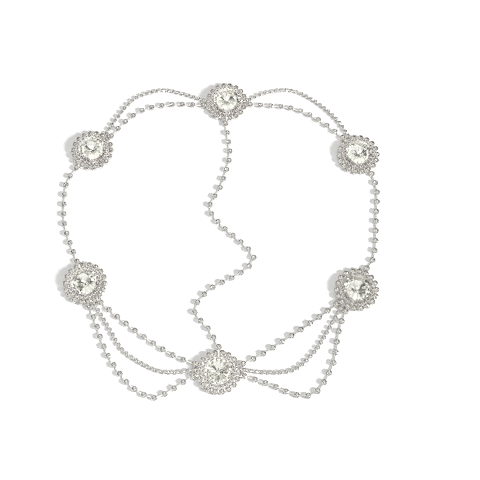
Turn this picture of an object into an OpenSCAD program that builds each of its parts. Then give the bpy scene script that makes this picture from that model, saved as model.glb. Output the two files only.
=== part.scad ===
// Hair chain laid flat: six round crystal medallions joined into a loop by cup chains,
// with one chain across the middle and chains in swags at the top and the bottom.
// X is to the right and Y is up in the laid-out plan, Z is up from the surface it lies on.

/* [Loop] */
// Width of the loop between the middles of the side chains
loop_w = 199; // [180:1:240]
// Length of the loop from the top arcs to the bottom swags
loop_l = 204; // [185:1:245]

/* [Medallion] */
// Diameter of the main crystal
main_stone_d = 15.8; // [14:0.1:18]
// Wall of the main crystal's cup
main_wall = 0.3; // [0.25:0.05:0.6]
// Height of the main crystal's girdle
main_rise = 5.9; // [5.6:0.1:8]
// Claws round the main crystal
main_claws = 12; // [8:2:16]
// How far a main claw reaches in over its crystal
main_reach = 0.9; // [0.4:0.1:1.4]
// Diameter of the inner ring's crystals
inner_stone_d = 1.7; // [1.4:0.1:2.2]
// Height of the inner ring's girdles
inner_rise = 4.2; // [3.8:0.1:5]
// Space between the inner ring's cups
inner_space = 0.3; // [0.2:0.05:0.8]
// How far the inner ring's rims reach in over their crystals
rim_reach = 0.2; // [0.2:0.05:0.35]
// Diameter of the outer ring's crystals
outer_stone_d = 3; // [2.4:0.1:3.6]
// Height of the outer ring's girdles
outer_rise = 2.4; // [2.3:0.1:3.2]
// Space between the outer ring's cups
outer_space = 0.5; // [0.2:0.05:1]
// Thickness of the plate that the cups are soldered on
plate_t = 0.8; // [0.5:0.05:0.9]

/* [Spaced chain] */
// Diameter of the crystals
chain_stone_d = 3.2; // [2.8:0.1:3.6]
// Distance from one cup to the next, before it is evened out along a strand
chain_pitch = 6.65; // [6:0.05:8]
// Width of the bar between two cups
bar_w = 0.7; // [0.5:0.05:0.9]
// Thickness of the bar
bar_t = 0.35; // [0.25:0.05:0.4]
// Width of the head on the bar's end, inside the next cup
head_w = 1.6; // [1.4:0.05:1.8]
// Length of the head along the bar
head_t = 0.25; // [0.2:0.05:0.3]

/* [Fine chain] */
// Diameter of the crystals
fine_stone_d = 2.3; // [1.8:0.1:2.6]
// Diameter of the round tube that has the fine chain's route and bulk
fine_tube_d = 2.4; // [1.8:0.1:2.8]

/* [Cups] */
// Wall of every small cup
cup_wall = 0.2; // [0.15:0.05:0.3]
// Floor of a chain's cup
cup_floor = 0.3; // [0.2:0.05:0.4]
// How far a small claw reaches in over its crystal
claw_reach = 0.35; // [0.2:0.05:0.5]
// Share of a cup's edge that the notches between its claws take
notch_share = 0.74; // [0.6:0.02:0.8]
// Depth of the solder where two cups meet
solder = 0.15; // [0.1:0.01:0.18]

/* [Clearances] */
// Space round a crystal in its cup
stone_gap = 0.1; // [0.1:0.01:0.15]
// Space under a crystal in its cup
under_gap = 0.15; // [0.15:0.01:0.2]
// Space round a bar in the slot of the next cup
bar_gap = 0.15; // [0.12:0.01:0.2]
// Space between a fine chain's end and the cup that it leaves
tube_gap = 0.2; // [0.15:0.05:0.4]

/* [Hidden] */
$fn = 48;

// A cut is its crown, girdle, pavilion and table as shares of the stone's diameter, and its sides.
small_cut = [0.17, 0.06, 0.36, 0.55, 8];
main_cut = [0.14, 0.03, 0.25, 0.12, 16];
function crown_h(d, cut) = d * cut[0];
function girdle_t(d, cut) = d * cut[1];
function pavilion_h(d, cut) = d * cut[2];
function table_r(d, cut) = d * cut[3] / 2;

// Cups follow their stones.
function seat_r(d) = d / 2 + stone_gap;
function cup_r(d, wall) = seat_r(d) + wall;
chain_cup_r = cup_r(chain_stone_d, cup_wall);
fine_cup_r = cup_r(fine_stone_d, cup_wall);
function chain_rise(d) = cup_floor + under_gap + pavilion_h(d, small_cut);

// Rings of a medallion, from the main cup outwards.
main_cup_r = cup_r(main_stone_d, main_wall);
inner_cup_r = cup_r(inner_stone_d, cup_wall);
outer_cup_r = cup_r(outer_stone_d, cup_wall);
inner_ring_r = main_cup_r + inner_cup_r - solder;
outer_ring_r = inner_ring_r + inner_cup_r + seat_r(outer_stone_d) + cup_wall / 4;
medallion_r = outer_ring_r + outer_cup_r;
function ring_n(r, cup, space) = floor(180 / asin((cup + space / 2) / r));
inner_n = ring_n(inner_ring_r, inner_cup_r, inner_space);
outer_n = ring_n(outer_ring_r, outer_cup_r, outer_space);
tab_w = 1.6;

// The bar's head lies between the cup's wall and the stone's pavilion.
bar_z = cup_floor + bar_gap;
head_out = sqrt(pow(seat_r(chain_stone_d), 2) - pow(head_w / 2, 2)) - bar_gap;
head_in = head_out - head_t;

// Plan of the loop: these points were chosen at a loop of laid_w by laid_l and stretch with it.
laid_w = 199;
laid_l = 204;
function at(p) = [p[0] * loop_w / laid_w, p[1] * loop_l / laid_l];
TOP = 0;
UPPER_LEFT = 1;
UPPER_RIGHT = 2;
LOWER_LEFT = 3;
LOWER_RIGHT = 4;
BOTTOM = 5;
setting_names = ["top", "upper_left", "upper_right", "lower_left", "lower_right", "bottom"];
setting_plan = [[3, 92], [-83.5, 57], [88, 54], [-83.5, -33], [83.5, -37], [-1, -88.5]];

// A strand is its name, the medallion and angle that it leaves, those that it reaches, and its route.
spaced_strands = [
  ["top_left", UPPER_LEFT, 42, TOP, 188, [[-63.5, 77.5], [-52.5, 86], [-40.5, 89.5], [-27, 90.5]]],
  ["top_right", TOP, -6, UPPER_RIGHT, 127, [[31, 89.5], [44.5, 88], [57, 83], [68, 75.5]]],
  ["left", UPPER_LEFT, 231, LOWER_LEFT, 112, [[-99, 34], [-99.5, 14], [-97, 0.5]]],
  ["right", UPPER_RIGHT, -58, LOWER_RIGHT, 64, [[99, 28.5], [97.5, 9], [96.5, -6], [94.5, -17]]],
  ["centre", TOP, -92, BOTTOM, 90,
    [[4.5, 62], [5, 51.5], [-0.5, 32], [-7.5, 17], [1.5, 4], [12, -5.5], [20.5, -16.5],
     [11.5, -26.5], [-6.5, -36.5], [-16, -50], [-7.5, -61.5]]],
  ["left_swag_inner", LOWER_LEFT, -50, BOTTOM, 160, [[-63, -54], [-46, -67], [-28.5, -78]]],
  ["left_swag_outer", LOWER_LEFT, -77, BOTTOM, 188,
    [[-75, -60], [-72, -68.5], [-65.5, -81.5], [-54, -96], [-41, -103.5], [-32, -101]]],
  ["right_swag_inner", LOWER_RIGHT, 215, BOTTOM, 20, [[59, -55], [42, -66.5], [25, -77.5]]],
  ["right_swag_outer", LOWER_RIGHT, 242, BOTTOM, -8,
    [[72.5, -60], [70, -71], [67.5, -83.5], [57, -100.5], [45, -102], [32.5, -97]]],
];
fine_strands = [
  ["top_left", UPPER_LEFT, 57, TOP, 174, [[-69, 80.5], [-58, 94.5], [-40.5, 101], [-26, 98.5]]],
  ["top_right", TOP, 8, UPPER_RIGHT, 113, [[28, 99], [45, 101], [60, 94], [74, 81]]],
  ["left_swag", LOWER_LEFT, -64, BOTTOM, 174, [[-68, -60.5], [-58, -75.5], [-40, -86.5], [-28, -88.5]]],
  ["right_swag", LOWER_RIGHT, 228.5, BOTTOM, 6, [[64, -64.5], [56, -76.5], [43.5, -87], [27, -88.5]]],
];
function strand_name(s) = s[0];
function leaves(s) = s[1];
function reaches(s) = s[3];
function route(s) = s[5];

// Centre of the cup that a strand ends in, soldered to a medallion's edge at an angle.
function edge_cup(setting, angle, r) =
  at(setting_plan[setting]) + (medallion_r + r - solder) * [cos(angle), sin(angle)];

// A smooth curve through points, each stretch a cubic whose ends point along their neighbours.
stretch_steps = 12;
function cubic(a, b, c, d, t) =
  0.5 * (2 * b + (c - a) * t + (2 * a - 5 * b + 4 * c - d) * t * t
         + (3 * b - a - 3 * c + d) * t * t * t);
function smooth(p) = let (n = len(p) - 1) [
  for (i = [0 : n - 1], j = [0 : stretch_steps - 1])
    cubic(i == 0 ? 2 * p[0] - p[1] : p[i - 1], p[i], p[i + 1],
          i == n - 1 ? 2 * p[n] - p[n - 1] : p[i + 2], j / stretch_steps),
  p[n],
];
function strand_curve(s, r) = smooth(concat(
  [edge_cup(leaves(s), s[2], r)], [for (p = route(s)) at(p)], [edge_cup(reaches(s), s[4], r)]));

// Length of a curve up to each of its points, and the point at a length.
function lengths(p) = [
  for (i = 0, l = 0; i < len(p); l = l + (i + 1 < len(p) ? norm(p[i + 1] - p[i]) : 0), i = i + 1) l
];
function stretch_of(l, s) = max([0, for (i = [0 : len(l) - 2]) if (l[i] <= s) i]);
function point_at(p, l, s) = let (i = stretch_of(l, s))
  p[i] + (p[i + 1] - p[i]) * (s - l[i]) / (l[i + 1] - l[i]);

// Points at an even spacing near the wanted one, from a start to an end along the curve.
function spread(p, from, to, spacing) = let (l = lengths(p), n = max(1, round((to - from) / spacing)))
  [for (i = [0 : n]) point_at(p, l, from + (to - from) * i / n)];
function whole(p) = lengths(p)[len(p) - 1];
function chain_cups(s) = let (c = strand_curve(s, chain_cup_r)) spread(c, 0, whole(c), chain_pitch);
function fine_route(s) = let (c = strand_curve(s, fine_cup_r), end = fine_cup_r + tube_gap)
  spread(c, end, whole(c) - end, fine_tube_d * 2.5);

spaced_cups = [for (s = spaced_strands) chain_cups(s)];
fine_routes = [for (s = fine_strands) fine_route(s)];

function heading(a, b) = atan2(b[1] - a[1], b[0] - a[0]);

// One cut stone: culet at the bottom, girdle from z = 0, table turned half a facet.
module gem(d, cut) {
  n = cut[4];
  r = d / 2;
  girdle = girdle_t(d, cut);
  top = girdle + crown_h(d, cut);
  function ring(radius, z, turn) =
    [for (i = [0 : n - 1]) [radius * cos((i + turn) * 360 / n), radius * sin((i + turn) * 360 / n), z]];
  low = [for (i = [0 : n - 1]) 1 + i];
  high = [for (i = low) i + n];
  table = [for (i = low) i + 2 * n];
  polyhedron(
    points = concat([[0, 0, -pavilion_h(d, cut)]],
                    ring(r, 0, 0), ring(r, girdle, 0), ring(table_r(d, cut), top, 0.5)),
    faces = concat(
      [for (i = [0 : n - 1]) [0, low[i], low[(i + 1) % n]]],
      [for (i = [0 : n - 1]) [low[i], high[i], high[(i + 1) % n], low[(i + 1) % n]]],
      [for (i = [0 : n - 1]) [high[i], table[i], high[(i + 1) % n]]],
      [for (i = [0 : n - 1]) [table[i], table[(i + 1) % n], high[(i + 1) % n]]],
      [[for (i = [n - 1 : -1 : 0]) table[i]]]));
}

// One cup turned about its axis, with its edge notched so that claws are left over the stone. With no
// claws the edge is a whole rim. A tapered seat follows the stone's pavilion, and a straight one leaves
// room for a bar's head.
module cup(d, cut, rise, wall, claws, reach, tapered) {
  in = seat_r(d);
  out = in + wall;
  girdle_top = rise + girdle_t(d, cut);
  slope = crown_h(d, cut) / (d / 2 - table_r(d, cut));
  claw_top = girdle_top + stone_gap + reach * slope;
  floor_z = rise - pavilion_h(d, cut) - under_gap;
  floor_r = tapered ? 2 * under_gap : in;
  notch_w = claws > 0 ? 2 * out * sin(notch_share * 180 / claws) : 0;
  difference() {
    rotate_extrude()
      polygon([[0, 0], [out, 0], [out, girdle_top], [in - reach + wall, claw_top], [in - reach, claw_top],
               [in, girdle_top + stone_gap], [in, rise - under_gap], [floor_r, floor_z], [0, floor_z]]);
    for (i = [0 : 1 : claws / 2 - 1])
      rotate(i * 360 / claws)
        translate([-out - wall, -notch_w / 2, rise + girdle_t(d, cut) / 2])
          cube([2 * (out + wall), notch_w, claw_top]);
  }
}

// A cup of a chain at a place in the plan. It has a slot towards the cup before it, if there is one,
// and a bar with a head that reaches through the slot of the cup after it.
module chain_cup(place, before, after) {
  translate(place) {
    difference() {
      rotate(heading(place, after ? after : before))
        cup(chain_stone_d, small_cut, chain_rise(chain_stone_d), cup_wall, 4, claw_reach, false);
      if (before) slot(heading(place, before), chain_cup_r, bar_w, bar_t);
    }
    if (after) rotate(heading(place, after)) bar(norm(after - place));
  }
}

module slot(angle, r, w, t) {
  rotate(angle)
    translate([r - cup_wall - bar_gap, -w / 2 - bar_gap, bar_z - bar_gap])
      cube([cup_wall + 2 * bar_gap, w + 2 * bar_gap, t + 2 * bar_gap]);
}

module bar(distance) {
  start = chain_cup_r - cup_wall / 2;
  translate([start, -bar_w / 2, bar_z]) cube([distance - head_in - start, bar_w, bar_t]);
  translate([distance - head_out, -head_w / 2, bar_z]) cube([head_t, head_w, bar_t]);
}

// The soldered tab under a strand's end cup, from inside the plate's rim to the end cup's wall.
module tab(setting, angle) {
  start = outer_ring_r - tab_w / 2;
  end = medallion_r - solder + cup_wall / 2;
  translate(at(setting_plan[setting]))
    rotate(angle)
      translate([start, -tab_w / 2, 0])
        cube([end - start, tab_w, plate_t]);
}

module ring_of_cups(n, ring_r, d, rise, claws, reach) {
  for (i = [0 : n - 1])
    rotate(i * 360 / n)
      translate([ring_r, 0, 0])
        cup(d, small_cut, rise, cup_wall, claws, reach, true);
}

// A medallion's metal: plate, main cup, two rings of cups and the end cups of its strands.
module setting(i) {
  color("silver") {
    translate(at(setting_plan[i])) {
      cylinder(h = plate_t, r = outer_ring_r);
      cup(main_stone_d, main_cut, main_rise, main_wall, main_claws, main_reach, true);
      ring_of_cups(inner_n, inner_ring_r, inner_stone_d, inner_rise, 0, rim_reach);
      ring_of_cups(outer_n, outer_ring_r, outer_stone_d, outer_rise, 4, claw_reach);
    }
    for (k = [0 : len(spaced_strands) - 1]) {
      s = spaced_strands[k];
      p = spaced_cups[k];
      n = len(p) - 1;
      if (leaves(s) == i) {
        chain_cup(p[0], undef, p[1]);
        tab(i, s[2]);
      }
      if (reaches(s) == i) {
        chain_cup(p[n], p[n - 1], undef);
        tab(i, s[4]);
      }
    }
    for (k = [0 : len(fine_strands) - 1]) {
      s = fine_strands[k];
      p = fine_routes[k];
      if (leaves(s) == i) fine_end(i, s[2], p[0]);
      if (reaches(s) == i) fine_end(i, s[4], p[len(p) - 1]);
    }
  }
}

// The end cup of a fine chain, with a slot towards the chain.
module fine_end(setting, angle, towards) {
  place = edge_cup(setting, angle, fine_cup_r);
  translate(place)
    difference() {
      rotate(heading(place, towards))
        cup(fine_stone_d, small_cut, chain_rise(fine_stone_d), cup_wall, 4, claw_reach, false);
      slot(heading(place, towards), fine_cup_r, bar_w, bar_t);
    }
  tab(setting, angle);
}

module main_stone(i) {
  color("ghostwhite") translate(concat(at(setting_plan[i]), main_rise)) gem(main_stone_d, main_cut);
}

// The loose cups of a spaced chain, each hooked into the next.
module chain(k) {
  p = spaced_cups[k];
  color("silver")
    for (i = [1 : len(p) - 2]) chain_cup(p[i], p[i - 1], p[i + 1]);
}

module chain_stones(k) {
  p = spaced_cups[k];
  color("ghostwhite")
    for (i = [1 : len(p) - 2])
      translate(concat(p[i], chain_rise(chain_stone_d)))
        rotate(heading(p[i], p[i + 1]))
          gem(chain_stone_d, small_cut);
}

// A tube along a fine chain's route, lying on the surface on one of its sides.
tube_sides = 8;
module fine_chain(k) {
  p = fine_routes[k];
  n = len(p) - 1;
  r = fine_tube_d / 2;
  lift = r * cos(180 / tube_sides);
  function section(i) = let (a = heading(p[max(0, i - 1)], p[min(n, i + 1)]))
    [for (j = [0 : tube_sides - 1]) let (b = (j + 0.5) * 360 / tube_sides)
      [p[i][0] - r * cos(b) * sin(a), p[i][1] + r * cos(b) * cos(a), lift + r * sin(b)]];
  function corner(i, j) = i * tube_sides + j % tube_sides;
  color("silver")
    polyhedron(
      points = [for (i = [0 : n]) each section(i)],
      faces = concat(
        [[for (j = [0 : tube_sides - 1]) corner(0, j)]],
        [for (i = [0 : n - 1], j = [0 : tube_sides - 1])
          [corner(i, j), corner(i + 1, j), corner(i + 1, j + 1)]],
        [for (i = [0 : n - 1], j = [0 : tube_sides - 1])
          [corner(i, j), corner(i + 1, j + 1), corner(i, j + 1)]],
        [[for (j = [tube_sides - 1 : -1 : 0]) corner(n, j)]]));
}

for (i = [0 : len(setting_names) - 1]) {
  setting(i);
  main_stone(i);
}
for (k = [0 : len(spaced_strands) - 1]) {
  chain(k);
  chain_stones(k);
}
for (k = [0 : len(fine_strands) - 1])
  fine_chain(k);
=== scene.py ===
"""The looks of a crystal hair chain laid flat: its plating, cut stones, halos of small stones and fine cup chains."""
import math
import bpy
import numpy as np
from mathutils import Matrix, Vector


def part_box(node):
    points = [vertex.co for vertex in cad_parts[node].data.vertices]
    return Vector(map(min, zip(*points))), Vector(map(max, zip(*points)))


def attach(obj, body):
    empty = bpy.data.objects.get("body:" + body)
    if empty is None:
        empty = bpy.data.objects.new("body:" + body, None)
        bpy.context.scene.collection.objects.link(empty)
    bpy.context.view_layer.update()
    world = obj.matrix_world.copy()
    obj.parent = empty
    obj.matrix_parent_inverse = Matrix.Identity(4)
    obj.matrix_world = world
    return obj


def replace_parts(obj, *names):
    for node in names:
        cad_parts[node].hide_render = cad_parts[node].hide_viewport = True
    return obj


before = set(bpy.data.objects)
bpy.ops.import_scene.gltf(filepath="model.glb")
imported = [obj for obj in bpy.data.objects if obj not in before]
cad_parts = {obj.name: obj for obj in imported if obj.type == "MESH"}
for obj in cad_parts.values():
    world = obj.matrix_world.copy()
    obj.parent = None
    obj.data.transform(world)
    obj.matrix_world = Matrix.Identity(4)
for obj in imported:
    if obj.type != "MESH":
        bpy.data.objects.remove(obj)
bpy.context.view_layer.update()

# Sizes in metres, as the part has them. D is a stone's diameter and RISE the height of its girdle's underside
MM = 0.001
MAIN_D = 15.8 * MM
MAIN_RISE = 5.9 * MM
MAIN_WALL = 0.3 * MM
INNER_D = 1.7 * MM
INNER_RISE = 4.2 * MM
INNER_COUNT = 22
OUTER_D = 3.0 * MM
OUTER_RISE = 2.4 * MM
OUTER_COUNT = 18
CHAIN_D = 3.2 * MM
FINE_D = 2.3 * MM
FINE_PITCH = 3.65 * MM
CUP_WALL = 0.2 * MM
CUP_FLOOR = 0.3 * MM
CLAW_REACH = 0.35 * MM
INNER_CLAW_WIDTH = 0.4 * MM
FINE_CLAW_WIDTH = 0.55 * MM
BAR_WIDTH = 0.6 * MM
BAR_THICK = 0.3 * MM
BAR_BASE = CUP_FLOOR + 0.15 * MM
STONE_GAP = 0.1 * MM
UNDER_GAP = 0.15 * MM
SOLDER = 0.15 * MM           # how far two soldered cups sink into each other
CULET_LEVEL = 0.01 * MM      # a chain's lowest points lie within this height

CLAW_ANGLES = [45, 135, 225, 315]
SHARP_EDGE = 35              # degrees between two faces, from which their edge stays sharp
STONE_TWIST = 1.0            # radians by which each stone of a chain is turned from the one before it
CUP_SIDES = 12
CURVE_STEPS = 24             # points between two places of a fine chain's route

# A cut's crown, girdle, pavilion, table and middle ring as shares of the diameter, and its sides
SMALL_CUT = dict(crown=0.17, girdle=0.06, pavilion=0.36, table=0.45, middle=0.74, sides=8)
MAIN_CUT = dict(crown=0.14, girdle=0.03, pavilion=0.25, table=0.12, middle=0.78, sides=16)


def seat_r(d):
    """Inner radius of a cup: half its stone's diameter and the gap round the stone."""
    return d / 2 + STONE_GAP


def cup_r(d, wall=CUP_WALL):
    """Outer radius of a cup: its inner radius and its wall."""
    return seat_r(d) + wall


def chain_rise(d):
    """Height of a stone's girdle in a chain's cup: the floor, the gap under the culet and the pavilion."""
    return CUP_FLOOR + UNDER_GAP + d * SMALL_CUT["pavilion"]


INNER_RING_R = cup_r(MAIN_D, MAIN_WALL) + cup_r(INNER_D) - SOLDER
OUTER_RING_R = INNER_RING_R + cup_r(INNER_D) + seat_r(OUTER_D) + CUP_WALL / 4
MEDALLION_R = OUTER_RING_R + cup_r(OUTER_D)
SPACED_END_R = MEDALLION_R + cup_r(CHAIN_D) - SOLDER
FINE_END_R = MEDALLION_R + cup_r(FINE_D) - SOLDER
INNER_RING = np.arange(INNER_COUNT) * 360 / INNER_COUNT
OUTER_RING = np.arange(OUTER_COUNT) * 360 / OUTER_COUNT

MEDALLIONS = ["top", "upper_left", "upper_right", "lower_left", "lower_right", "bottom"]
# Degrees by which each main stone happened to be turned when its claws were closed
MAIN_TURNS = {"top": 4, "upper_left": 9, "upper_right": 15, "lower_left": 7, "lower_right": 18, "bottom": 12}
STRANDS = ["top_left", "top_right", "left", "right", "centre", "left_swag_inner", "left_swag_outer",
           "right_swag_inner", "right_swag_outer"]

# Degrees round each medallion at which a spaced chain or a fine chain ends in a soldered cup
SPACED_ENDS = {"top": [188, -6, -92], "upper_left": [42, 231], "upper_right": [127, -58],
               "lower_left": [112, -50, -77], "lower_right": [64, 215, 242], "bottom": [90, 160, 188, 20, -8]}
FINE_ENDS = {"top": [174, 8], "upper_left": [57], "upper_right": [113], "lower_left": [-64],
             "lower_right": [228.5], "bottom": [174, 6]}

# A fine chain's medallions and angles at its two ends, and the points of its route between them, in mm
FINE_ROUTES = {
    "top_left": ("upper_left", 57, "top", 174, [(-69, 80.5), (-58, 94.5), (-40.5, 101), (-26, 98.5)]),
    "top_right": ("top", 8, "upper_right", 113, [(28, 99), (45, 101), (60, 94), (74, 81)]),
    "left_swag": ("lower_left", -64, "bottom", 174, [(-68, -60.5), (-58, -75.5), (-40, -86.5), (-28, -88.5)]),
    "right_swag": ("lower_right", 228.5, "bottom", 6, [(64, -64.5), (56, -76.5), (43.5, -87), (27, -88.5)]),
}


def middle(name):
    """Plan centre of a medallion: halfway between the low and high corners of its main stone's box."""
    low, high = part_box("stone_" + name)
    return np.array([(low.x + high.x) / 2, (low.y + high.y) / 2])


def polar(radius, degrees):
    """Points at a radius and angles: radius times the angle's cosine and sine."""
    a = np.radians(degrees)
    return np.stack([radius * np.cos(a), radius * np.sin(a)], axis=-1)


def at_height(xy, z):
    """Plan points set at a height: the height joins each as its third coordinate."""
    return np.concatenate([xy, np.full((*xy.shape[:-1], 1), z)], axis=-1)


# Colours and nodes

def linear(hex_colour):
    """An sRGB hex colour as linear values: c / 12.92 below 0.04045, else ((c + 0.055) / 1.055) to the power 2.4."""
    c = np.array([int(hex_colour[i:i + 2], 16) for i in (1, 3, 5)]) / 255
    return (*np.where(c <= 0.04045, c / 12.92, ((c + 0.055) / 1.055) ** 2.4), 1.0)


def add(tree, kind, inputs=None, **settings):
    """Adds one node, sets its properties, and gives each named input a value or a link from another node's socket."""
    made = tree.nodes.new(kind)
    for key, value in settings.items():
        setattr(made, key, value)
    for key, value in (inputs or {}).items():
        if isinstance(value, bpy.types.NodeSocket):
            tree.links.new(value, made.inputs[key])
        else:
            made.inputs[key].default_value = value
    return made


def cells(size):
    """A noise texture's scale for patches of a size in metres: one over the size."""
    return 1 / size


def new_material(name):
    """A material with an empty node tree: the nodes that it starts with are taken out."""
    material = bpy.data.materials.new(name)
    material.use_nodes = True
    material.node_tree.nodes.clear()
    return material, material.node_tree


def rhodium_plate():
    """Rhodium plate on stamped and tumbled brass: a cold, near-white mirror with soft edges to what it shows. Handling
    clouds it in patches of 4.5 mm. Tumbling marks are about 0.05 mm, too fine to show, and are drawn at 0.4 mm. Both
    are a noise between two greys, two roughnesses or two heights."""
    material, tree = new_material("rhodium_plated_brass")
    place = add(tree, "ShaderNodeTexCoord").outputs["Object"]
    cloud = add(tree, "ShaderNodeTexNoise", {"Vector": place, "Scale": cells(4.5 * MM), "Detail": 3.0})
    grain = add(tree, "ShaderNodeTexNoise", {"Vector": place, "Scale": cells(0.4 * MM), "Detail": 4.0})
    tint = add(tree, "ShaderNodeMix", {"Factor": cloud.outputs["Fac"], "A": linear("#E2DFDD"), "B": linear("#F2F0EF")},
               data_type="RGBA")
    polish = add(tree, "ShaderNodeMapRange", {"Value": grain.outputs["Fac"], "To Min": 0.06, "To Max": 0.18})
    bump = add(tree, "ShaderNodeBump", {"Height": grain.outputs["Fac"], "Strength": 0.12, "Distance": 0.02 * MM})
    plate = add(tree, "ShaderNodeBsdfPrincipled", {
        "Base Color": tint.outputs["Result"], "Metallic": 1.0, "Roughness": polish.outputs["Result"],
        "Normal": bump.outputs["Normal"]})
    add(tree, "ShaderNodeOutputMaterial", {"Surface": plate.outputs["BSDF"]})
    return material


def cut_glass(name, pale, deep):
    """Machine-cut lead glass, polished: clear and bright at its edges. Each facet's own value sets its cast between
    two colours, as cut glass shows a little more or less of its tint from facet to facet."""
    material, tree = new_material(name)
    facet = add(tree, "ShaderNodeAttribute", attribute_name="facet")
    cast = add(tree, "ShaderNodeMix", {"Factor": facet.outputs["Fac"], "A": linear(pale), "B": linear(deep)},
               data_type="RGBA")
    glass = add(tree, "ShaderNodeBsdfPrincipled", {
        "Base Color": cast.outputs["Result"], "Roughness": 0.01, "IOR": 1.56, "Transmission Weight": 1.0})
    add(tree, "ShaderNodeOutputMaterial", {"Surface": glass.outputs["BSDF"]})
    return material


def silver_foil(name, dark, light):
    """Silver foil, vacuum-coated on the pavilion: a mirror seen through the stone. The coat's mottling of 1.4 mm is a
    noise between two greys."""
    material, tree = new_material(name)
    place = add(tree, "ShaderNodeTexCoord").outputs["Object"]
    cloud = add(tree, "ShaderNodeTexNoise", {"Vector": place, "Scale": cells(1.4 * MM), "Detail": 2.0})
    tint = add(tree, "ShaderNodeMix", {"Factor": cloud.outputs["Fac"], "A": linear(dark), "B": linear(light)},
               data_type="RGBA")
    foil = add(tree, "ShaderNodeBsdfPrincipled", {
        "Base Color": tint.outputs["Result"], "Metallic": 1.0, "Roughness": 0.02})
    add(tree, "ShaderNodeOutputMaterial", {"Surface": foil.outputs["BSDF"]})
    return material


def white_paper():
    """Seamless background paper, calendered: matt white. Its fibres are about 0.1 mm wide, too fine to show, and their
    relief is drawn as a noise of 1.1 mm."""
    material, tree = new_material("seamless_paper")
    place = add(tree, "ShaderNodeTexCoord").outputs["Object"]
    fibre = add(tree, "ShaderNodeTexNoise", {"Vector": place, "Scale": cells(1.1 * MM), "Detail": 3.0})
    bump = add(tree, "ShaderNodeBump", {"Height": fibre.outputs["Fac"], "Strength": 0.05, "Distance": 0.05 * MM})
    paper = add(tree, "ShaderNodeBsdfPrincipled", {
        "Base Color": linear("#D4D4D4"), "Roughness": 0.95, "Specular IOR Level": 0.1,
        "Normal": bump.outputs["Normal"]})
    add(tree, "ShaderNodeOutputMaterial", {"Surface": paper.outputs["BSDF"]})
    return material


# The medallions' glass has an ivory cast, and the chains' is clearer
PLATE = rhodium_plate()
GLASS = cut_glass("cut_lead_glass", "#FFFFFD", "#FBFAF1")
CLEAR_GLASS = cut_glass("clear_cut_glass", "#FFFFFE", "#FBFBF8")
FOIL = silver_foil("silvered_foil", "#E7E7E5", "#F2F2F1")
SMALL_FOIL = silver_foil("dull_silvered_foil", "#DEDDDB", "#E9E8E6")
CHAIN_FOIL = silver_foil("neutral_silvered_foil", "#DDDDDC", "#E8E8E7")


# Meshes

def piece(name, points, faces, materials, kinds=None, facets=False):
    """A mesh from points and faces, riding on the root body. kinds gives each face's material. A stone's facets stay
    flat, and each has a value of its own between 0 and 1 for its cast; other pieces are smooth up to a sharp edge."""
    mesh = bpy.data.meshes.new(name)
    mesh.from_pydata(points.tolist(), [], faces)
    for material in materials:
        mesh.materials.append(material)
    if kinds is not None:
        mesh.polygons.foreach_set("material_index", np.asarray(kinds, np.int32))
    if facets:
        values = np.random.default_rng(len(faces)).random(len(faces)).astype(np.float32)
        mesh.attributes.new("facet", "FLOAT", "FACE").data.foreach_set("value", values)
    else:
        mesh.shade_smooth()
        mesh.set_sharp_from_angle(angle=math.radians(SHARP_EDGE))
    mesh.validate()
    mesh.update()
    made = bpy.data.objects.new(name, mesh)
    bpy.context.scene.collection.objects.link(made)
    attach(made, "root")
    return made


def after(faces, start):
    """Faces whose points come after others: each point's number is raised by the number of those before."""
    return [[v + start for v in face] for face in faces]


def copies(points, faces, places, turns):
    """A shape repeated: each copy's points are turned about Z by its turn and moved to its place, all at once, and its
    faces are the shape's own with their numbers raised by the points before them."""
    c, s = np.cos(turns)[:, None], np.sin(turns)[:, None]
    x, y, z = points.T
    moved = np.stack([c * x - s * y, s * x + c * y, np.broadcast_to(z, (len(turns), len(z)))], axis=-1)
    moved = moved + places[:, None, :]
    every = [face for k in range(len(turns)) for face in after(faces, k * len(points))]
    return moved.reshape(-1, 3), every


def joined(parts):
    """Several (points, faces, kinds) as one: the points stacked, and each part's faces raised by those before it."""
    points, faces, kinds = [], [], []
    for p, f, k in parts:
        faces += after(f, sum(len(q) for q in points))
        points.append(p)
        kinds += k
    return np.vstack(points), faces, kinds


def cut_stone(d, cut):
    """One cut stone with its girdle from z = 0. Rings of points at even angles: the table's, turned half a facet; the
    middle ring's, at the height that makes each kite flat; and the girdle's, twice as many. Glass faces come first:
    the table, stars, kites, upper girdle and girdle. Then the foiled pavilion, from the girdle to the culet."""
    n, r = cut["sides"], d / 2
    step = 360 / n
    low, top = cut["girdle"] * d, (cut["girdle"] + cut["crown"]) * d
    table_r, middle_r = cut["table"] * r, cut["middle"] * r
    along = (middle_r * math.cos(math.radians(step / 2)) - table_r) / (r - table_r)
    whole, half = np.arange(n) * step, (np.arange(n) + 0.5) * step
    girdle = polar(r, np.arange(2 * n) * step / 2)
    points = np.vstack([
        at_height(polar(table_r, half), top), at_height(polar(middle_r, whole), top - (top - low) * along),
        at_height(girdle, low), at_height(girdle, 0.0), [[0, 0, -cut["pavilion"] * d]]])
    table, mid, up, down = range(n), range(n, 2 * n), range(2 * n, 4 * n), range(4 * n, 6 * n)
    culet = 6 * n
    glass = [list(table)]
    for i in range(n):
        j = (i + 1) % n
        glass += [[table[i - 1], mid[i], table[i]], [table[i], mid[i], up[2 * i + 1], mid[j]],
                  [mid[i], up[2 * i - 1], up[2 * i]], [mid[i], up[2 * i], up[2 * i + 1]]]
    glass += [[down[k], down[(k + 1) % (2 * n)], up[(k + 1) % (2 * n)], up[k]] for k in range(2 * n)]
    foil = []
    for i in range(n):
        a, b, c = down[2 * i], down[2 * i + 1], down[(2 * i + 2) % (2 * n)]
        foil += [[culet, c, a], [a, c, b]]
    return points, glass + foil, [0] * len(glass) + [1] * len(foil)


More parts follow.
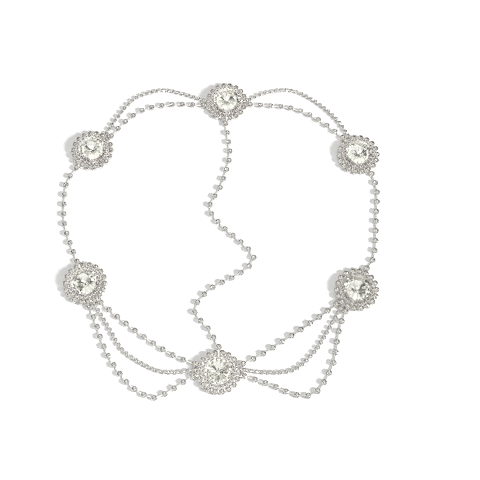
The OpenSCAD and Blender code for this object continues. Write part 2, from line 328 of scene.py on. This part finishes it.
def stones(places, turns, d, cut):
    """Cut stones of one size, one copied to each place with its turn."""
    points, faces, kinds = cut_stone(d, cut)
    return *copies(points, faces, places, turns), kinds * len(turns)


def stone_piece(name, parts, glass, foil):
    """One piece of all the stones in parts, with glass crowns and foiled pavilions."""
    points, faces, kinds = joined(parts)
    return piece(name, points, faces, [glass, foil], kinds, facets=True)


def on_ring(centre, radius, degrees, z):
    """Places at angles round a centre, at a radius and a height, with each one's own angle as its turn."""
    degrees = np.asarray(degrees, float)
    return at_height(centre + polar(radius, degrees), z), np.radians(degrees)


def medallion_stones(name):
    """The main stone of a medallion, and its halo: two rings of small stones and those of the soldered end cups. Each
    stone stands at its ring's radius and angle round the medallion's middle."""
    centre = middle(name)
    turn = np.radians([MAIN_TURNS[name]])
    main = stones(np.array([[*centre, MAIN_RISE]]), turn, MAIN_D, MAIN_CUT)
    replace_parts(stone_piece("rivoli_" + name, [main], GLASS, FOIL), "stone_" + name)
    rings = [(INNER_RING_R, INNER_RING, INNER_RISE, INNER_D),
             (OUTER_RING_R, OUTER_RING, OUTER_RISE, OUTER_D),
             (SPACED_END_R, SPACED_ENDS[name], chain_rise(CHAIN_D), CHAIN_D),
             (FINE_END_R, FINE_ENDS[name], chain_rise(FINE_D), FINE_D)]
    parts = [stones(*on_ring(centre, radius, degrees, z), d, SMALL_CUT) for radius, degrees, z, d in rings]
    stone_piece("halo_crystals_" + name, parts, GLASS, SMALL_FOIL)


def claw(d, width):
    """One claw of a cup, from the girdle's underside up its wall and bent in over the stone: a six-cornered outline in
    the radial plane, pushed out to half its width on both sides. Its bent end is parallel to the stone's crown."""
    inner, outer = seat_r(d), cup_r(d)
    shoulder = SMALL_CUT["girdle"] * d
    slope = SMALL_CUT["crown"] / (0.5 - SMALL_CUT["table"] / 2)
    tip = shoulder + STONE_GAP + CLAW_REACH * slope
    outline = np.array([(outer, 0.0), (outer, shoulder), (inner - CLAW_REACH + CUP_WALL, tip),
                        (inner - CLAW_REACH, tip), (inner, shoulder + STONE_GAP), (inner, 0.0)])
    near = np.column_stack([outline[:, 0], np.full(6, -width / 2), outline[:, 1]])
    far = near * [1, -1, 1]
    sides = [[i, (i + 1) % 6, (i + 1) % 6 + 6, i + 6] for i in range(6)]
    ends = [[0, 5, 4, 1], [1, 4, 3, 2], [6, 7, 10, 11], [7, 8, 9, 10]]
    return np.vstack([near, far]), [face[::-1] for face in sides + ends]


def four_claws(places, turns, d, width):
    """Four claws to a cup, at 45 degrees and each quarter turn after it."""
    return copies(*claw(d, width), np.repeat(places, len(CLAW_ANGLES), axis=0),
                  (turns[:, None] + np.radians(CLAW_ANGLES)).ravel())


def inner_claws(name):
    """The claws of a medallion's inner ring, standing on its cups' rims: four to each of the ring's places."""
    places, turns = on_ring(middle(name), INNER_RING_R, INNER_RING, INNER_RISE)
    points, faces = four_claws(places, turns, INNER_D, INNER_CLAW_WIDTH)
    piece("inner_claws_" + name, points, faces, [PLATE])


def culets(node):
    """Places of a chain's stones, from its node: each stone's culet is its lowest point."""
    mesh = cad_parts[node].data
    points = np.empty(len(mesh.vertices) * 3)
    mesh.vertices.foreach_get("co", points)
    points = points.reshape(-1, 3)
    low = points[points[:, 2] < points[:, 2].min() + CULET_LEVEL]
    return np.unique(np.round(low[:, :2], 6), axis=0)


def spaced_stones(name):
    """The cut stones of one spaced chain, each over its culet and turned by one twist more than the last."""
    xy = culets("crystals_" + name)
    part = stones(at_height(xy, chain_rise(CHAIN_D)), np.arange(len(xy)) * STONE_TWIST, CHAIN_D, SMALL_CUT)
    made = stone_piece("cut_crystals_" + name, [part], CLEAR_GLASS, CHAIN_FOIL)
    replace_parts(made, "crystals_" + name)


# Fine chains

def smooth(p):
    """A curve through points. Between two points it is the cubic whose slope at each is half the step from the point
    before to the point after; the first and last steps are carried on past the ends."""
    p = np.vstack([2 * p[0] - p[1], p, 2 * p[-1] - p[-2]])
    a, b, c, d = (p[i:len(p) - 3 + i, None, :] for i in range(4))
    t = (np.arange(CURVE_STEPS) / CURVE_STEPS)[None, :, None]
    curve = 0.5 * (2 * b + (c - a) * t + (2 * a - 5 * b + 4 * c - d) * t ** 2 + (3 * b - a - 3 * c + d) * t ** 3)
    return np.vstack([curve.reshape(-1, p.shape[1]), p[-2]])


def fine_cup():
    """A turned cup: an outline in the radial plane, carried round the axis in even steps, from the middle of its
    underside out, up, in at the rim and down to the middle of its floor."""
    n = CUP_SIDES
    rim = chain_rise(FINE_D) + SMALL_CUT["girdle"] * FINE_D / 2
    outline = [(cup_r(FINE_D), 0.0), (cup_r(FINE_D), rim), (seat_r(FINE_D), rim), (seat_r(FINE_D), CUP_FLOOR)]
    rings = [at_height(polar(r, np.arange(n) * 360 / n), z) for r, z in outline]
    points = np.vstack(rings + [[[0, 0, 0], [0, 0, CUP_FLOOR]]])
    faces = []
    for i in range(n):
        j = (i + 1) % n
        faces += [[ring * n + i, ring * n + j, (ring + 1) * n + j, (ring + 1) * n + i] for ring in range(3)]
        faces += [[4 * n, j, i], [4 * n + 1, 3 * n + i, 3 * n + j]]
    return points, faces


def bars(places):
    """A flat bar from each place to the next: a box along the line between them, from wall to wall."""
    step = np.diff(places[:, :2], axis=0)
    along = step / np.linalg.norm(step, axis=1, keepdims=True)
    across = np.stack([-along[:, 1], along[:, 0]], axis=-1) * BAR_WIDTH / 2
    inset = along * (seat_r(FINE_D) + CUP_WALL / 2)
    start, end = places[:-1, :2] + inset, places[1:, :2] - inset
    corners = np.stack([start - across, end - across, end + across, start + across], axis=1)
    ends = [at_height(corners, BAR_BASE), at_height(corners, BAR_BASE + BAR_THICK)]
    box = [[3, 2, 1, 0], [4, 5, 6, 7], [0, 1, 5, 4], [1, 2, 6, 5], [2, 3, 7, 6], [3, 0, 4, 7]]
    faces = [face for k in range(len(step)) for face in after(box, 8 * k)]
    return np.concatenate(ends, axis=1).reshape(-1, 3), faces


def fine_chain(name):
    """A fine cup chain along its route: places at even lengths along the curve, a cup and a stone at each but the
    ends, which are soldered cups, and a bar between each two."""
    start, start_angle, end, end_angle, route = FINE_ROUTES[name]
    curve = smooth(np.vstack([middle(start) + polar(FINE_END_R, start_angle), np.array(route) * MM,
                              middle(end) + polar(FINE_END_R, end_angle)]))
    lengths = np.concatenate([[0], np.cumsum(np.linalg.norm(np.diff(curve, axis=0), axis=1))])
    count = round(lengths[-1] / FINE_PITCH)
    wanted = np.linspace(0, lengths[-1], count + 1)
    xy = np.column_stack([np.interp(wanted, lengths, curve[:, i]) for i in (0, 1)])
    places = at_height(xy, 0.0)
    ahead = xy[2:] - xy[:-2]
    turns = np.arctan2(ahead[:, 1], ahead[:, 0])
    loose = places[1:-1]
    raised = loose + [0, 0, chain_rise(FINE_D)]
    cups = copies(*fine_cup(), loose, turns)
    claws = four_claws(raised, turns, FINE_D, FINE_CLAW_WIDTH)
    metal = joined([(*cups, []), (*claws, []), (*bars(places), [])])
    made = piece("fine_cups_" + name, metal[0], metal[1], [PLATE])
    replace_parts(made, "fine_chain_" + name)
    part = stones(raised, turns, FINE_D, SMALL_CUT)
    stone_piece("fine_crystals_" + name, [part], CLEAR_GLASS, CHAIN_FOIL)


# The object

for node_name, node_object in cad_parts.items():
    if node_name.startswith(("setting_", "chain_")):
        node_object.data.materials.clear()
        node_object.data.materials.append(PLATE)
for medallion in MEDALLIONS:
    medallion_stones(medallion)
    inner_claws(medallion)
for strand in STRANDS:
    spaced_stones(strand)
for route_name in FINE_ROUTES:
    fine_chain(route_name)


# The studio

FLOOR_HALF = 6.0             # metres from the middle to an edge
FLOOR_DROP = 0.02 * MM       # keeps the floor out of the undersides that rest on it
KEY = dict(azimuth=-20, elevation=29.5, distance=3.0, size=0.35, power=130.0)
ROOM_POWER = 1.9
ROOM_SINES = (0.2, 0.65)     # of the elevations, 12 and 41 degrees, between which the room brightens
ROOM_LIGHT = (0.06, 1.0)     # below and above them
CLOUD_SCALE = 2.2            # cycles over a unit of direction: reflections about 26 degrees wide
CLOUD_RANGE = (0.4, 0.6)     # the noise values between which
CLOUD_LIGHT = (0.75, 1.05)   # the room's light is scaled from the first to the second
SOFT_EDGE = 4 / 3            # a thing's outer edge over its half width
EYE_POWER = 2.2
SHARPENING = 0.12
LENS, SENSOR = 75.7, 36.0    # mm
CAMERA_AT = (0.0118, -0.220, 0.5948)
CAMERA_TILT = 19.97          # degrees forward from straight down

# Things round the table: azimuth, elevation and half width in degrees, and the share of the room's light that each
# sends back. A later one lies over those before it.
SURROUNDINGS = [
    (-90, 18, 38, 0.54),     # a grey wall in front
    (-88, 31, 8, 0.08),      # the camera's stand
    (92, 66, 12, 0.6),       # a reflector behind
    (0, 70, 16, 0.2),        # a lamp's back on the right
    (20, 30, 24, 0.1),       # a dark screen beside the key light
    (-100, 54, 16, 0.8),     # a diffuser over the camera
    (-160, 54, 11, 0.5),     # a reflector on the left
    (-40, 78, 11, 0.3),      # lamps' backs and arms near the ceiling
    (60, 70, 7, 0.3),
    (178, 68, 11, 0.15),
    (-140, 66, 7, 0.1),
]


def direction(azimuth, elevation):
    """Unit vector at an azimuth round from +X and an elevation, in degrees: the azimuth's cosine and sine, each times
    the elevation's cosine, and the elevation's sine."""
    a, e = math.radians(azimuth), math.radians(elevation)
    return Vector((math.cos(a) * math.cos(e), math.sin(a) * math.cos(e), math.sin(e)))


def floor():
    """A sheet of paper under the object: one square, a hair's breadth below it."""
    half = FLOOR_HALF
    mesh = bpy.data.meshes.new("floor")
    mesh.from_pydata([(-half, -half, 0), (half, -half, 0), (half, half, 0), (-half, half, 0)], [], [(0, 1, 2, 3)])
    mesh.materials.append(white_paper())
    made = bpy.data.objects.new("floor", mesh)
    made.location.z = -FLOOR_DROP
    bpy.context.scene.collection.objects.link(made)


def key_light():
    """A square softbox on the right, at its distance along its direction and aimed at the middle."""
    data = bpy.data.lights.new("key", "AREA")
    data.size = KEY["size"]
    data.energy = KEY["power"]
    made = bpy.data.objects.new("key", data)
    away = direction(KEY["azimuth"], KEY["elevation"])
    made.location = away * KEY["distance"]
    made.rotation_mode = "QUATERNION"
    made.rotation_quaternion = away.to_track_quat("Z", "Y")
    bpy.context.scene.collection.objects.link(made)


def surroundings():
    """A room with a white ceiling: dark at the horizon, bright from 41 degrees up, cloudy with large soft reflections,
    and with the things round the table over it. A thing's edge is where the direction's product with its own rises
    from the cosine of its outer edge to that of its half width."""
    world = bpy.data.worlds.new("studio")
    bpy.context.scene.world = world
    world.use_nodes = True
    tree = world.node_tree
    tree.nodes.clear()
    towards = add(tree, "ShaderNodeTexCoord").outputs["Generated"]
    height = add(tree, "ShaderNodeSeparateXYZ", {"Vector": towards}).outputs["Z"]
    rise = add(tree, "ShaderNodeMapRange", {
        "Value": height, "From Min": ROOM_SINES[0], "From Max": ROOM_SINES[1], "To Min": ROOM_LIGHT[0],
        "To Max": ROOM_LIGHT[1]}, interpolation_type="SMOOTHSTEP")
    cloud = add(tree, "ShaderNodeTexNoise", {"Vector": towards, "Scale": CLOUD_SCALE, "Detail": 1.0})
    cards = add(tree, "ShaderNodeMapRange", {
        "Value": cloud.outputs["Fac"], "From Min": CLOUD_RANGE[0], "From Max": CLOUD_RANGE[1],
        "To Min": CLOUD_LIGHT[0], "To Max": CLOUD_LIGHT[1]})
    light = add(tree, "ShaderNodeMath", {0: rise.outputs["Result"], 1: cards.outputs["Result"]},
                operation="MULTIPLY").outputs[0]
    for azimuth, elevation, half, level in SURROUNDINGS:
        facing = add(tree, "ShaderNodeVectorMath", {0: towards, 1: direction(azimuth, elevation)},
                     operation="DOT_PRODUCT")
        cover = add(tree, "ShaderNodeMapRange", {
            "Value": facing.outputs["Value"], "From Min": math.cos(math.radians(SOFT_EDGE * half)),
            "From Max": math.cos(math.radians(half))})
        light = add(tree, "ShaderNodeMix", {
            "Factor": cover.outputs["Result"], "A": light, "B": level}).outputs["Result"]
    strength = add(tree, "ShaderNodeMath", {0: light, 1: ROOM_POWER}, operation="MULTIPLY")
    back = add(tree, "ShaderNodeBackground", {"Color": linear("#FFFFFD"), "Strength": strength.outputs[0]})
    add(tree, "ShaderNodeOutputWorld", {"Surface": back.outputs[0]})


def crisp():
    """Sharpens the picture a little, as the photo is: the image is held at white, raised to one over the eye's power,
    sharpened in even steps of grey, and brought back by the eye's power."""
    scene = bpy.context.scene
    scene.use_nodes = True
    tree = scene.node_tree
    tree.nodes.clear()
    image = add(tree, "CompositorNodeRLayers").outputs["Image"]
    held = add(tree, "CompositorNodeMixRGB", {0: 1.0, 1: image, 2: (0.0, 0.0, 0.0, 1.0)},
               blend_type="ADD", use_clamp=True)
    eye = add(tree, "CompositorNodeGamma", {"Image": held.outputs["Image"], "Gamma": 1 / EYE_POWER})
    sharp = add(tree, "CompositorNodeFilter", {"Fac": SHARPENING, "Image": eye.outputs["Image"]},
                filter_type="SHARPEN_DIAMOND")
    back = add(tree, "CompositorNodeGamma", {"Image": sharp.outputs["Image"], "Gamma": EYE_POWER})
    add(tree, "CompositorNodeComposite", {"Image": back.outputs["Image"]})


def camera():
    """The photo's view: from above and 20 degrees in front, a little right of the middle, through a long lens."""
    data = bpy.data.cameras.new("camera")
    data.sensor_width = SENSOR
    data.lens = LENS
    data.clip_start, data.clip_end = 0.01, 50.0
    made = bpy.data.objects.new("camera", data)
    made.location = CAMERA_AT
    made.rotation_euler = (math.radians(CAMERA_TILT), 0.0, 0.0)
    bpy.context.scene.collection.objects.link(made)
    bpy.context.scene.camera = made


floor()
key_light()
surroundings()
camera()
crisp()
# Light crosses a foiled stone many times before it leaves
bpy.context.scene.cycles.glossy_bounces = 12
bpy.context.scene.cycles.max_bounces = 16
bpy.context.scene.view_settings.view_transform = "Standard"
